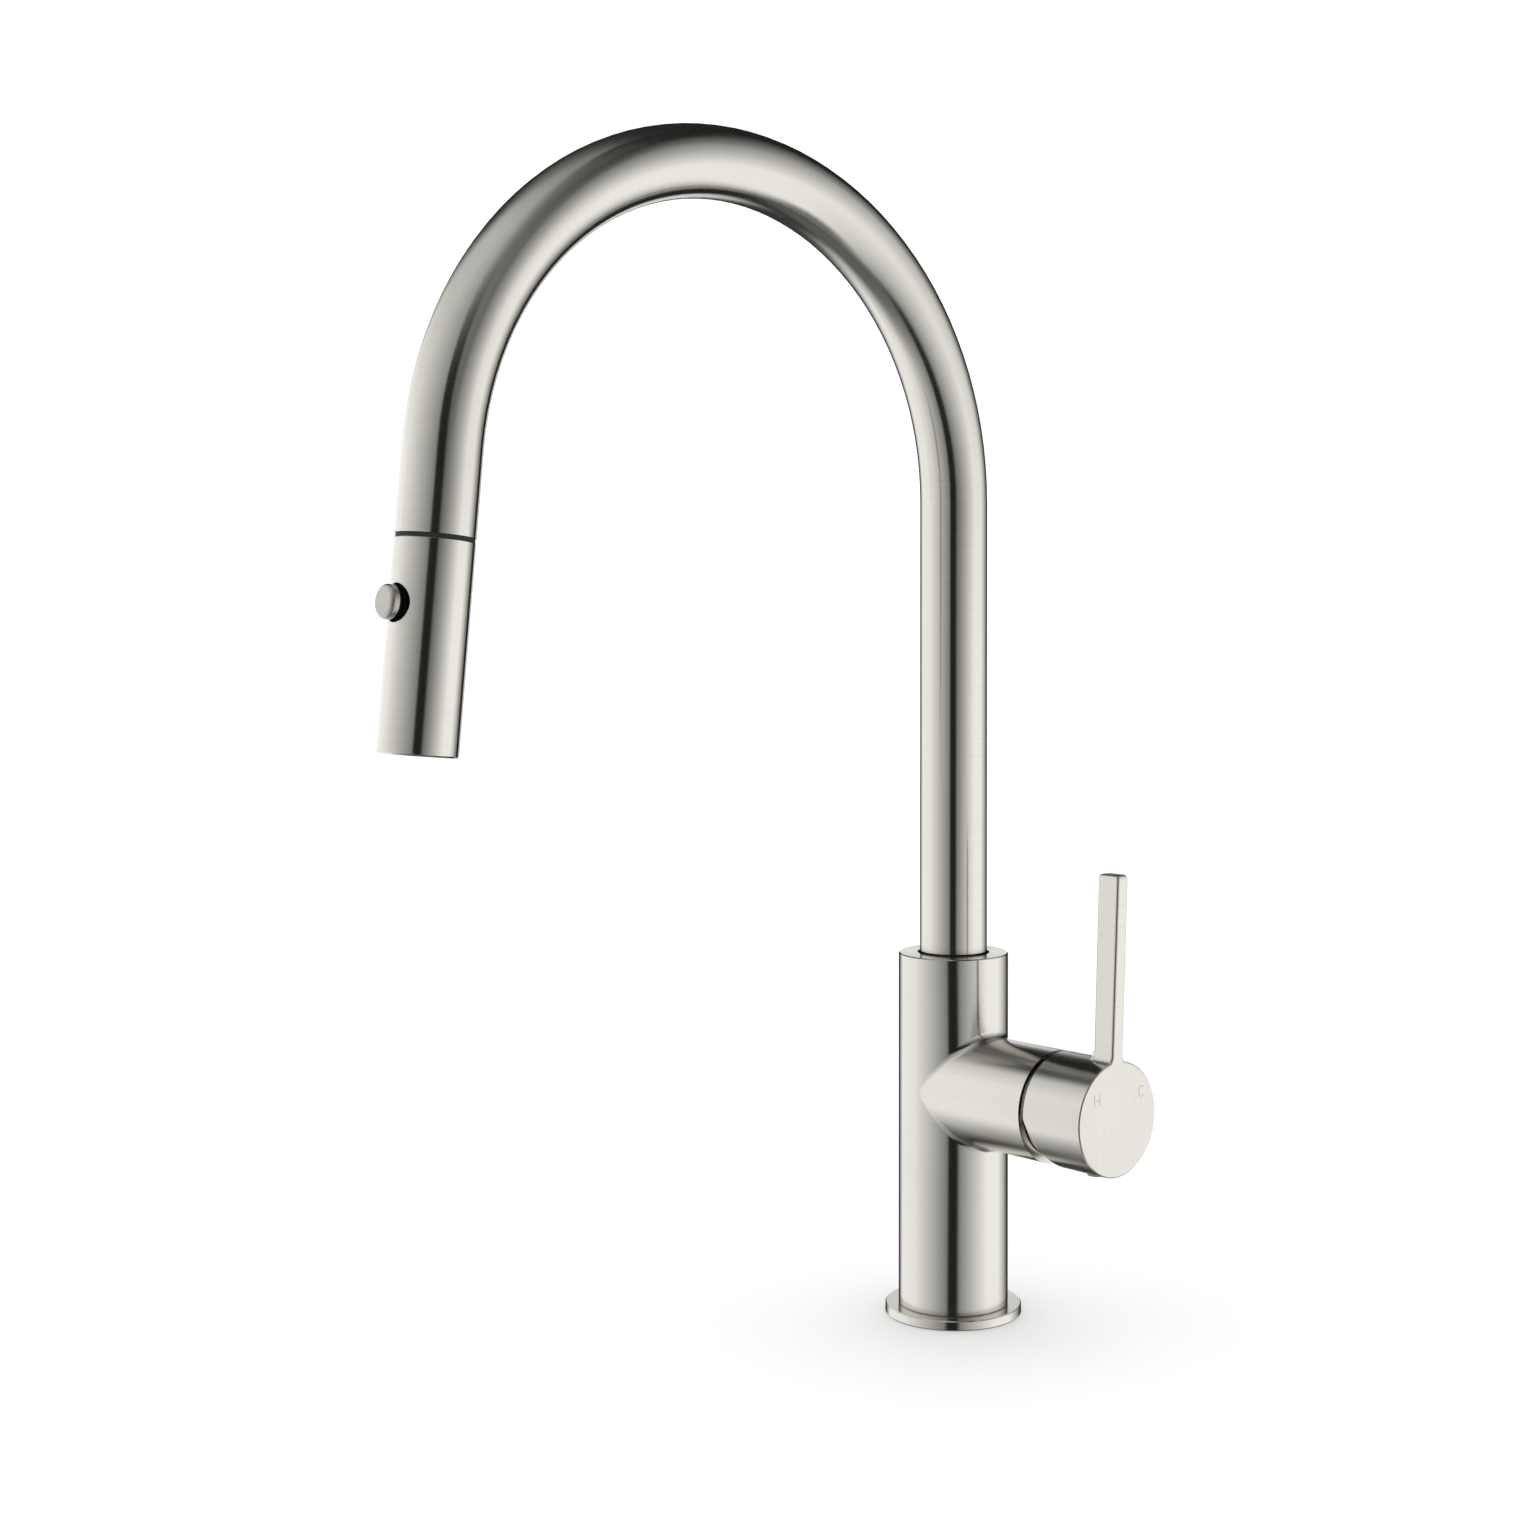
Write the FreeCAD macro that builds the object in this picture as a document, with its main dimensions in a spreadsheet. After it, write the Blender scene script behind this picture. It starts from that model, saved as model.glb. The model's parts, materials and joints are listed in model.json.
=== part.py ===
import FreeCAD, Part
import math
import os

import PartDesign
import Sketcher
from FreeCAD import Placement, Rotation, Vector

# Pull-down kitchen faucet with a gooseneck spout and one side handle.
# +Z is up and the origin is the centre of the base flange on the deck. The spout
# reaches towards -Y and the side arm with its handle points along +X.
# All sizes are in millimetres.

document = FreeCAD.newDocument("pull_down_kitchen_faucet")
dims = document.addObject("Spreadsheet::Sheet", "dims")
SUBPARTS = []


# ---- sizes: a number with the spreadsheet expression it stands for ----

class Size:
    """A number that remembers how it is worked out from the spreadsheet's cells."""

    def __init__(self, number, text):
        self.number = number
        self.text = text

    def joined(self, other, sign, number):
        return Size(number, f"({self.text} {sign} {other.text})")

    def __add__(self, other):
        other = size(other)
        return self.joined(other, "+", self.number + other.number)

    def __radd__(self, other):
        return size(other) + self

    def __sub__(self, other):
        other = size(other)
        return self.joined(other, "-", self.number - other.number)

    def __rsub__(self, other):
        return size(other) - self

    def __mul__(self, other):
        other = size(other)
        return self.joined(other, "*", self.number * other.number)

    def __rmul__(self, other):
        return size(other) * self

    def __truediv__(self, other):
        other = size(other)
        return self.joined(other, "/", self.number / other.number)

    def __neg__(self):
        return 0 - self


def size(value):
    """A plain number as a Size; a Size is returned as it is."""
    if isinstance(value, Size):
        return value
    return Size(float(value), f"({value})" if value < 0 else f"{value}")


def cosine(angle):
    return Size(math.cos(math.radians(angle.number)), f"cos({angle.text})")


def sine(angle):
    return Size(math.sin(math.radians(angle.number)), f"sin({angle.text})")


def cell(alias, number):
    """Write one driving dimension into the spreadsheet and return it as a Size."""
    cell.row += 1
    dims.set(f"A{cell.row}", alias)
    dims.set(f"B{cell.row}", str(number))
    dims.setAlias(f"B{cell.row}", alias)
    return Size(float(number), f"dims.{alias}")


cell.row = 0

# ---- driving dimensions ----

flange_r = cell("flange_radius", 25.8)
flange_height = cell("flange_height", 3.7)
column_r = cell("column_radius", 20.75)
column_top = cell("column_top", 136.9)
column_wall = cell("column_wall", 2)
column_roof = cell("column_roof", 5)
edge = cell("edge_break", 0.4)
arm_r = cell("arm_radius", 20.55)
arm_height = cell("arm_height", 86.4)
arm_end = cell("arm_end", 53)
arm_bore_r = cell("arm_bore_radius", 18.05)
arm_fillet = cell("arm_fillet", 3)

tube_r = cell("tube_radius", 12.7)
tube_wall = cell("tube_wall", 1.2)
tube_bottom = cell("tube_bottom", 105.5)
bend_height = cell("bend_height", 307.8)
bend_r = cell("bend_radius", 113.7)
bend_angle = cell("bend_angle", 174.4)
tube_end_run = cell("tube_end_run", 28.1)
rim_thickness = cell("rim_thickness", 1.3)
head_length = cell("head_length", 67.5)
head_wall = cell("head_wall", 1.2)
hose_r = cell("hose_radius", 6)
running = cell("running_clearance", 0.05)

button_run = cell("button_run", 50.25)
button_r = cell("button_radius", 5.5)
button_hole_r = cell("button_hole_radius", 6.2)
button_thickness = cell("button_thickness", 3.35)
button_proud = cell("button_proud", 1)

pivot_x = cell("pivot_distance", 55)
cap_face = cell("cap_face", 82)
cap_wall_r = cell("cap_bore_radius", 18.4)
cap_floor = cell("cap_floor", 77.5)
cap_relief = cell("cap_relief", 7.9)
lever_width = cell("lever_width", 5.6)
lever_depth = cell("lever_depth", 9.6)
lever_rear = cell("lever_rear", 72.85)
lever_top = cell("lever_top", 173.5)
lever_lean = cell("lever_lean", 1.9)
lever_foot = cell("lever_foot", 3.5)
lever_heel = cell("lever_heel", 4)
lever_top_corner = cell("lever_top_corner", 1.6)
lever_corner = cell("lever_corner", 1.1)
lever_lean_height = cell("lever_lean_height", 60)
dome_r = cell("dome_radius", 17.6)
dome_wall = cell("dome_wall", 1.6)
dome_mouth_r = cell("dome_mouth_radius", 13.6)
stem_width = cell("stem_width", 8)

block_top = cell("base_block_top", 16)
block_r = cell("base_block_radius", 18.7)
deck_gap = cell("deck_gap", 0.3)
passage_r = cell("hose_passage_radius", 7)
feed_x = cell("feed_offset", 9)
feed_y = cell("feed_spacing", 9.4)
outlet_x = cell("outlet_offset", 13)
feed_r = cell("feed_tube_radius", 3.5)
feed_bore_r = cell("feed_tube_bore", 2.6)
socket_drop = cell("socket_drop", 18.4)
port_r = cell("port_thread_radius", 4.45)
port_depth = cell("port_depth", 10)
stud_r = cell("stud_thread_radius", 3.4)
stud_offset = cell("stud_offset", 9.5)
stud_depth = cell("stud_depth", 12)

document.recompute()


# ---- helpers that build bound features ----

def bind(item, name, value):
    """Set a property and bind it to the spreadsheet."""
    value = size(value)
    item.setExpression(name, value.text)


def origin_plane(body, role):
    return next(f for f in body.Origin.OriginFeatures if f.Role == role)


def outline_sketch(body, role, name, points):
    """A closed outline on one of the body's own origin planes, every point dimensioned."""
    sketch = body.newObject("Sketcher::SketchObject", name)
    sketch.AttachmentSupport = [(origin_plane(body, role), "")]
    sketch.MapMode = "FlatFace"
    points = [(size(a), size(b)) for a, b in points]
    places = [Vector(a.number, b.number, 0) for a, b in points]
    count = len(places)
    for index in range(count):
        sketch.addGeometry(Part.LineSegment(places[index], places[(index + 1) % count]))
    for index in range(count):
        following = (index + 1) % count
        sketch.addConstraint(Sketcher.Constraint("Coincident", index, 2, following, 1))
    for index, (across, up) in enumerate(points):
        for kind, length in (("DistanceX", across), ("DistanceY", up)):
            constraint = Sketcher.Constraint(kind, -1, 1, index, 1, length.number)
            number = sketch.addConstraint(constraint)
            sketch.setExpression(f"Constraints[{number}]", length.text)
    return sketch


def place(item, at, rotation=None):
    """Give an object its place, with the position bound to the spreadsheet."""
    at = [size(value) for value in at]
    base = Vector(*[value.number for value in at])
    item.Placement = Placement(base, rotation or Rotation())
    for axis, value in zip("xyz", at):
        item.setExpression(f".Placement.Base.{axis}", value.text)


def named(item, label):
    """Label a finished sub-part and enter it in the list that is exported."""
    item.Label = label
    SUBPARTS.append(item)
    return item


def turned(label, profile, at=(0, 0, 0), rotation=None, listed=True):
    """A lathe-turned piece: an outline of (radius, height) points spun about its own Z."""
    body = document.addObject("PartDesign::Body", label + "_body")
    sketch = outline_sketch(body, "XZ_Plane", label + "_profile", profile)
    spin = body.newObject("PartDesign::Revolution", label + "_turning")
    spin.Profile = sketch
    spin.ReferenceAxis = (sketch, ["V_Axis"])
    spin.Angle = 360
    body.Tip = spin
    place(body, at, rotation)
    body.Label = label if listed else label + "_blank"
    return named(body, label) if listed else body


def ring(label, inner, outer, low, high, at=(0, 0, 0), rotation=None, listed=True):
    """A plain ring or sleeve."""
    corners = [(inner, low), (outer, low), (outer, high), (inner, high)]
    return turned(label, corners, at, rotation, listed)


def cylinder(label, radius, low, high, at=(0, 0, 0), rotation=None):
    """A Part cylinder from low to high along its own Z, used as a tool or a blank."""
    item = document.addObject("Part::Cylinder", label)
    rotation = rotation or Rotation()
    bind(item, "Radius", radius)
    bind(item, "Height", size(high) - low)
    lift = rotation.multVec(Vector(0, 0, 1))
    shift = [size(at[k]) + size(low) * round(lift[k], 9) for k in range(3)]
    place(item, shift, rotation)
    return item


def box(label, low, high):
    """A Part box between two corners."""
    item = document.addObject("Part::Box", label)
    for name, start, end in zip(("Length", "Width", "Height"), low, high):
        bind(item, name, size(end) - start)
    place(item, low)
    return item


def fuse(label, items):
    item = document.addObject("Part::MultiFuse", label)
    item.Shapes = items
    item.Refine = True
    return item


def cut(label, base, tools):
    item = document.addObject("Part::Cut", label)
    item.Base = base
    item.Tool = tools[0] if len(tools) == 1 else fuse(label + "_tools", tools)
    item.Refine = True
    return item


def fillet(label, base, radius, chosen):
    """Round every edge of a shape that the chosen function says yes to."""
    document.recompute()
    item = document.addObject("Part::Fillet", label)
    item.Base = base
    item.Edges = [(number, radius.number, radius.number)
                  for number, line in enumerate(base.Shape.Edges, 1) if chosen(line)]
    return item


def group(label, items):
    """Identical loose pieces kept as separate solids in one node."""
    item = document.addObject("Part::Compound", label)
    item.Links = items
    return named(item, label)


TO_X = Rotation(Vector(0, 1, 0), 90)


# ---- base: flange, seal, column with its side arm ----

def base_flange():
    seal_groove = 1.5
    turned("base_flange", [
        (18.9, 0), (21, 0), (21, seal_groove), (24.2, seal_groove), (24.2, 0),
        (flange_r - edge, 0), (flange_r, edge), (flange_r, flange_height - edge),
        (flange_r - edge, flange_height), (18.9, flange_height)])
    ring("base_seal", 21.1, 24.1, 0, seal_groove - 0.05)


def body_shell():
    inner_r = column_r - column_wall
    mouth_r = tube_r + 1
    column = turned("body_shell_column", [
        (0, flange_height), (column_r - edge, flange_height), (column_r, flange_height + edge),
        (column_r, column_top - edge), (column_r - edge, column_top), (0, column_top)],
        listed=False)
    arm = cylinder("body_shell_arm", arm_r, 0, arm_end, (0, 0, arm_height), TO_X)
    outside = fuse("body_shell_outside", [column, arm])
    blend = fillet("body_shell_blend", outside, arm_fillet, is_crease)
    hollow = cylinder("body_shell_hollow", inner_r, flange_height - 1, column_top - column_roof)
    arm_hollow = cylinder("body_shell_arm_hollow", arm_bore_r, 0, arm_end + 1,
                          (0, 0, arm_height), TO_X)
    mouth = cylinder("body_shell_mouth", mouth_r, column_top - column_roof - 1, column_top + 1)
    named(cut("body_shell", blend, [hollow, arm_hollow, mouth]), "body_shell")


def is_crease(crease):
    """True for the curved edge where the side arm leaves the column."""
    box_of = crease.BoundBox
    inside_arm = abs(box_of.ZMin - arm_height.number) < arm_r.number + 0.1
    ahead = box_of.XMin > 0 and box_of.XMax < column_r.number + 0.1
    return ahead and inside_arm and box_of.ZMax < arm_height.number + arm_r.number + 0.1


def base_block():
    blank = cylinder("base_block_blank", block_r, deck_gap, block_top)
    tools = [cylinder("hose_passage", passage_r, 0, block_top + 1)]
    ports = {"hot": (feed_x, -feed_y), "cold": (feed_x, feed_y), "mixed": (outlet_x, 0)}
    for name, (across, along) in ports.items():
        at = (across, along, 0)
        tools.append(cylinder(f"{name}_port", port_r, 0, deck_gap + port_depth, at))
        tools.append(cylinder(f"{name}_port_bore", feed_r, deck_gap + port_depth, block_top + 1, at))
    for side in (-1, 1):
        at = (-stud_offset, stud_offset * side, 0)
        tools.append(cylinder(f"stud_hole_{side + 1}", stud_r, 0, deck_gap + stud_depth, at))
    named(cut("base_block", blank, tools), "base_block")
    turned("hose_grommet", [
        (6.3, deck_gap), (passage_r, deck_gap), (passage_r, block_top), (9, block_top),
        (9, block_top + 1.5), (6.3, block_top + 1.5)])


def feed_tubes():
    low = deck_gap + port_depth
    top = arm_height - socket_drop
    for label, across, along in (("hot_feed_tube", feed_x, -feed_y),
                                 ("cold_feed_tube", feed_x, feed_y),
                                 ("mixed_outlet_tube", outlet_x, size(0))):
        ring(label, feed_bore_r, feed_r, low, top, (across, along, 0))


# ---- mixing valve in the side arm ----

def valve_seat():
    """Brass seat that brings the three water ways to the cartridge's flat underside."""
    back = 8
    front = 24
    socket_top = arm_height - socket_drop
    boss_foot = socket_top - 4
    solids = [cylinder("valve_seat_drum", 17.9, back, front, (0, 0, arm_height), TO_X)]
    tools = []
    ways = {"hot": (feed_x, -feed_y, size(0)), "cold": (feed_x, feed_y, size(0)),
            "mixed": (outlet_x, size(0), -feed_y)}
    for name, (across, along, up) in ways.items():
        at = (across, along, 0)
        solids.append(cylinder(f"{name}_boss", 4.6, boss_foot, arm_height - 12, at))
        tools.append(cylinder(f"{name}_socket", feed_r, boss_foot - 1, socket_top, at))
        tools.append(cylinder(f"{name}_riser", feed_bore_r, boss_foot, arm_height + up, at))
        tools.append(cylinder(f"{name}_way", feed_bore_r, across, front + 1,
                              (0, along, arm_height + up), TO_X))
    named(cut("valve_seat", fuse("valve_seat_blank", solids), tools), "valve_seat")
    ports = [(-feed_y, size(0)), (feed_y, size(0)), (size(0), -feed_y)]
    seals = [ring(f"port_seal_{number}", 2.6, 4, 24, 25.2, (0, along, arm_height + up), TO_X, False)
             for number, (along, up) in enumerate(ports)]
    group("cartridge_port_seals", seals)
    return ports


def cartridge(ports):
    """35 mm ceramic disc cartridge: base, fixed disc, moving disc and housing."""
    axis = (0, 0, arm_height)

    def drilled(label, radius, low, high):
        blank = cylinder(label + "_blank", radius, low, high, axis, TO_X)
        ways = [cylinder(f"{label}_way_{number}", feed_bore_r, size(low) - 1, size(high) + 1,
                         (0, along, arm_height + up), TO_X)
                for number, (along, up) in enumerate(ports)]
        return named(cut(label, blank, ways), label)

    turned("cartridge_housing", [
        (15.1, 25.6), (17.4, 25.6), (17.4, 47), (12.8, 47), (12.8, 46), (15.1, 46)], axis, TO_X)
    drilled("cartridge_base", 15, 25.2, 35.5)
    drilled("disc_seal_plate", 14, 35.5, 37)
    drilled("fixed_disc", 14.4, 37, 41)
    # The moving disc has a mixing chamber that opens towards the fixed disc.
    disc = cylinder("moving_disc_blank", 11.4, 41.05, 45.6, axis, TO_X)
    slot_low = arm_height - stem_width / 2 - 0.35
    slot_high = arm_height + stem_width / 2 + 0.35
    slot = box("moving_disc_slot", (43.6, -stem_width / 2 - 0.3, slot_low),
               (46, stem_width / 2 + 0.3, slot_high))
    chamber = box("moving_disc_chamber", (41, -9, arm_height - 5), (42.4, 9, arm_height + 3))
    named(cut("moving_disc", disc, [slot, chamber]), "moving_disc")


def carrier_and_stem():
    """The rotating carrier, the pin that the stem rocks on, and the square stem."""
    axis = (0, 0, arm_height)
    flange = cylinder("carrier_flange", 12.5, 46.1, 51.5, axis, TO_X)
    barrel = cylinder("carrier_barrel", 11.6, 46.1, 60, axis, TO_X)
    blank = fuse("carrier_blank", [flange, barrel])
    half = stem_width / 2 + 0.3
    slot = box("carrier_slot", (45, -half, arm_height - 8.6), (61, half, arm_height + 8.6))
    pin_hole = cylinder("carrier_pin_hole", 2, -15, 15, (pivot_x, 0, arm_height),
                        Rotation(Vector(1, 0, 0), -90))
    named(cut("cartridge_carrier", blank, [slot, pin_hole]), "cartridge_carrier")
    pin = cylinder("stem_pin_rod", 2, -11, 11, (pivot_x, 0, arm_height),
                   Rotation(Vector(1, 0, 0), -90))
    named(pin, "stem_pin")
    half = stem_width / 2
    bar = box("stem_bar", (pivot_x - 8, -half, arm_height - half), (76, half, arm_height + half))
    tip = box("stem_tip", (44.3, -half + 1, arm_height - half + 1),
              (pivot_x - 8, half - 1, arm_height + half - 1))
    bore = cylinder("stem_pin_bore", 2 + running, -10, 10, (pivot_x, 0, arm_height),
                    Rotation(Vector(1, 0, 0), -90))
    named(cut("cartridge_stem", fuse("stem_blank", [bar, tip]), [bore]), "cartridge_stem")


def nut_and_dome():
    axis = (0, 0, arm_height)
    ring("cartridge_nut", 13.2, 18, 47, 51.5, axis, TO_X)
    # The dome is a spherical shell about the stem pin, on a short skirt screwed into the arm.
    outer = document.addObject("Part::Sphere", "dome_outer")
    bind(outer, "Radius", dome_r)
    place(outer, (pivot_x, 0, arm_height), TO_X)
    skirt = cylinder("dome_skirt", dome_r, 51.5, pivot_x, axis, TO_X)
    inner = document.addObject("Part::Sphere", "dome_inner")
    bind(inner, "Radius", dome_r - dome_wall)
    place(inner, (pivot_x, 0, arm_height), TO_X)
    room = cylinder("dome_room", dome_r - dome_wall, 50, pivot_x, axis, TO_X)
    behind = cylinder("dome_behind", dome_r + 1, 30, 51.5, axis, TO_X)
    mouth = cylinder("dome_mouth", dome_mouth_r, pivot_x, pivot_x + 20, axis, TO_X)
    blank = fuse("dome_blank", [outer, skirt])
    named(cut("dome_cover", blank, [inner, room, behind, mouth]), "dome_cover")


# ---- handle ----

def side_prism(label, points, width):
    """An outline in the XZ plane, extruded evenly to both sides of it."""
    body = document.addObject("PartDesign::Body", label + "_body")
    outline = outline_sketch(body, "XZ_Plane", label + "_outline", points)
    pad = body.newObject("PartDesign::Pad", label + "_pad")
    pad.Profile = outline
    bind(pad, "Length", width)
    pad.Midplane = True
    body.Tip = pad
    return body


def lever_blade():
    """The leaning lever; its foot flares into the cap and its edges are rounded."""
    half = lever_width / 2
    foot_half = half + lever_foot
    foot_z = arm_height + arm_r - 1.5
    arc_z = foot_z + 0.4 + lever_foot
    lean = (lever_top - foot_z) * lever_lean / lever_lean_height
    bar = box("lever_bar", (60, -half, foot_z), (90, half, lever_top))
    foot = box("lever_foot_block", (60, -foot_half, foot_z), (90, foot_half, arc_z))
    # The cutters' seams are turned upward, away from the faces that they leave behind.
    seam_up = TO_X.multiply(Rotation(Vector(0, 0, 1), 180))
    hollows = [cylinder(f"lever_foot_hollow_{side + 1}", lever_foot, 0, 40,
                        (55, foot_half * side, arc_z), seam_up) for side in (-1, 1)]
    front_view = fuse("lever_front_view", [bar, cut("lever_foot", foot, hollows)])
    side_view = side_prism("lever_side_view", [
        (lever_rear, foot_z), (cap_face, foot_z), (lever_rear + lever_depth + lean, lever_top + 1),
        (lever_rear + lean, lever_top + 1)], 60)
    sharp = document.addObject("Part::MultiCommon", "lever_sharp")
    sharp.Shapes = [front_view, side_view]
    # The two top edges along the width come first; the long edges then run on over the top.
    top_z = lever_top.number - 0.01
    rounded_top = fillet("lever_rounded_top", sharp, lever_top_corner,
                         lambda line: line.BoundBox.ZMin > top_z and line.BoundBox.YLength > 1)
    rounded = fillet("lever_rounded", rounded_top, lever_corner,
                     lambda line: line.BoundBox.ZLength > 10)
    heel = box("lever_heel_block", (lever_rear - lever_heel, -half, foot_z),
               (lever_rear + 3, half, arc_z + 0.5))
    heel_hollow = cylinder("lever_heel_hollow", lever_heel, -20, 20,
                           (lever_rear - lever_heel, 0, arc_z + 0.5), Rotation(Vector(1, 0, 0), -90))
    return fuse("lever_blade", [rounded, cut("lever_heel", heel, [heel_hollow])])


def handle():
    axis = (0, 0, arm_height)
    cap = turned("handle_cap", [
        (0, pivot_x + 16), (7.5, pivot_x + 13.6), (7.5, cap_floor), (cap_wall_r, cap_floor),
        (cap_wall_r, pivot_x), (arm_r - edge, pivot_x), (arm_r, pivot_x + edge),
        (arm_r, cap_face - edge), (arm_r - edge, cap_face), (0, cap_face)], axis, TO_X, False)
    # The cap's lower rear edge is cut back on a slope that passes through the pivot.
    slope = side_prism("cap_slope", [
        (pivot_x - 5, arm_height), (pivot_x, arm_height),
        (pivot_x + cap_relief * 1.2, arm_height - arm_r * 1.2),
        (pivot_x - 5, arm_height - arm_r * 1.2)], 60)
    half = stem_width / 2
    socket = box("handle_socket", (60, -half, arm_height - half), (76, half, arm_height + half))
    down = Rotation(Vector(1, 0, 0), 180)
    screw_x = pivot_x + 17
    screw_hole = cylinder("grub_hole", 2.5, half, 14, (screw_x, 0, arm_height), down)
    plug_hole = cylinder("plug_hole", 3.2, 15, 24, (screw_x, 0, arm_height), down)
    solids = fuse("handle_blank", [cap, lever_blade()])
    named(cut("handle", solids, [slope, socket, screw_hole, plug_hole]), "handle")
    named(cylinder("handle_grub_screw", 2.5, half, 7.5, (screw_x, 0, arm_height), down),
          "handle_grub_screw")
    named(cylinder("screw_plug", 3.2, cap_wall_r, arm_r + 0.8, (screw_x, 0, arm_height), down),
          "screw_plug")


# ---- spout ----

OUT_TILT = 180 - bend_angle.number
arc_end_y = -(bend_r + bend_r * -cosine(bend_angle))
arc_end_z = bend_height + bend_r * sine(bend_angle)
# Turns local +Z to the outlet direction and local +X to the outward normal.
OUTLET = Rotation(Vector(1, 0, 0), 180 - OUT_TILT).multiply(Rotation(Vector(0, 0, 1), 90))


def outlet_frame():
    """Placement of pieces laid out along the outlet run, measured from the bend's end."""
    return (0, arc_end_y, arc_end_z), OUTLET


def bent_rod(label, radius, low, end_run):
    """A round rod along the gooseneck: a riser, the bend and a straight end run."""
    riser = cylinder(label + "_riser", radius, low, bend_height)
    bend = document.addObject("Part::Torus", label + "_bend")
    bind(bend, "Radius1", bend_r)
    bind(bend, "Radius2", radius)
    bind(bend, "Angle3", bend_angle)
    # The torus is turned so that its sweep starts on the riser's axis and leads over to -Y.
    turn = Rotation(Vector(0, 1, 0), Vector(0, 0, 1), Vector(1, 0, 0), "ZXY")
    place(bend, (0, -bend_r, bend_height), turn)
    at, rotation = outlet_frame()
    items = [riser, bend]
    if end_run is not None:
        items.append(cylinder(label + "_end", radius, 0, end_run, at, rotation))
    return fuse(label + "_rod", items)


def spout_tube():
    outside = bent_rod("tube_outside", tube_r, tube_bottom, tube_end_run)
    inside = bent_rod("tube_inside", tube_r - tube_wall, tube_bottom - 1, tube_end_run + 1)
    named(cut("spout_tube", outside, [inside]), "spout_tube")
    hose = bent_rod("pull_hose", hose_r, 1, None)
    named(hose, "pull_hose")


def spout_bearings():
    bush_r = tube_r + running
    turned("lower_bush", [
        (bush_r, 110), (block_r, 110), (block_r, 118), (bush_r, 118), (bush_r, 115.2), (14.2, 115.2),
        (14.2, 112.8), (bush_r, 112.8)])
    ring("anti_wobble_ring", bush_r, 14.1, 112.9, 115.1)
    ring("slip_washer", bush_r, 17.5, 118, 118.8)
    collar = ring("spout_collar_blank", tube_r, 16.5, 118.85, 124, listed=False)
    screw_hole = cylinder("collar_screw_hole", 1.5, tube_r - 1, 18, (0, 0, 121.4),
                          Rotation(Vector(1, 0, 0), -90))
    named(cut("spout_collar", collar, [screw_hole]), "spout_collar")
    ring("spout_circlip", tube_r, 15.2, 108.4, 109.9)
    turned("swivel_bush", [
        (bush_r, column_top - column_roof - 1.5), (16, column_top - column_roof - 1.5),
        (16, column_top - column_roof), (tube_r + 1, column_top - column_roof),
        (tube_r + 1, column_top - 1.2), (bush_r, column_top - 1.2)])
    named(cylinder("collar_set_screw", 1.5, tube_r, 16.4, (0, 0, 121.4),
                   Rotation(Vector(1, 0, 0), -90)), "collar_set_screw")


def dock():
    at, rotation = outlet_frame()
    tube_inner = tube_r - tube_wall
    ring("dock_sleeve", 8.5, tube_inner, 13, tube_end_run, at, rotation)
    ring("dock_rim", 8.5, tube_r - 0.3, tube_end_run, tube_end_run + rim_thickness, at, rotation)


# ---- hose end and spray head ----

def hose_end():
    at, rotation = outlet_frame()
    named(cylinder("hose_end_run", hose_r, 0, 8, at, rotation), "hose_end_run")
    ring("hose_ferrule", 3.4, 7, 8, 17, at, rotation)
    turned("hose_swivel_cone", [
        (3, 17), (4.8, 17), (4.8, 27.6), (6.5, 29.4), (6.5, 31.5), (3, 31.5)], at, rotation)


head_start = tube_end_run + rim_thickness + 0.1
head_end = head_start + head_length


def head_shell():
    at, rotation = outlet_frame()
    inner = tube_r - head_wall
    blank = turned("head_sleeve_blank", [
        (inner, head_start), (tube_r - 0.3, head_start), (tube_r, head_start + 0.3),
        (tube_r, head_end - 0.6), (tube_r - 0.6, head_end), (inner, head_end)],
        at, rotation, False)
    hole = radial_cylinder("head_button_hole", button_hole_r, 6, 16)
    named(cut("head_sleeve", blank, [hole]), "head_sleeve")
    turned("inlet_nut", [
        (4.9, 18), (7.6, 18), (8.2, 19), (8.2, 34.5), (7.1, 34.5), (7.1, 29.9), (4.9, 27.7)],
        at, rotation)
    ring("inlet_filter", 2, 6.4, 31.55, 32.55, at, rotation)
    ring("head_top_ring", 8.25, inner - 0.02, head_start + 0.4, 36, at, rotation)


def radial_place():
    """Placement of pieces laid out along the button's axis, outward from the head's axis."""
    tilt = bend_angle - 180
    at = (0, arc_end_y + button_run * sine(tilt), arc_end_z - button_run * cosine(tilt))
    return at, OUTLET.multiply(Rotation(Vector(0, 1, 0), 90))


def radial_cylinder(label, radius, low, high):
    """A cylinder on the button's axis between two distances from the head's axis."""
    at, rotation = radial_place()
    tilt = bend_angle - 180
    item = document.addObject("Part::Cylinder", label)
    bind(item, "Radius", radius)
    bind(item, "Height", size(high) - low)
    place(item, (0, at[1] - cosine(tilt) * low, at[2] - sine(tilt) * low), rotation)
    return item


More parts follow.
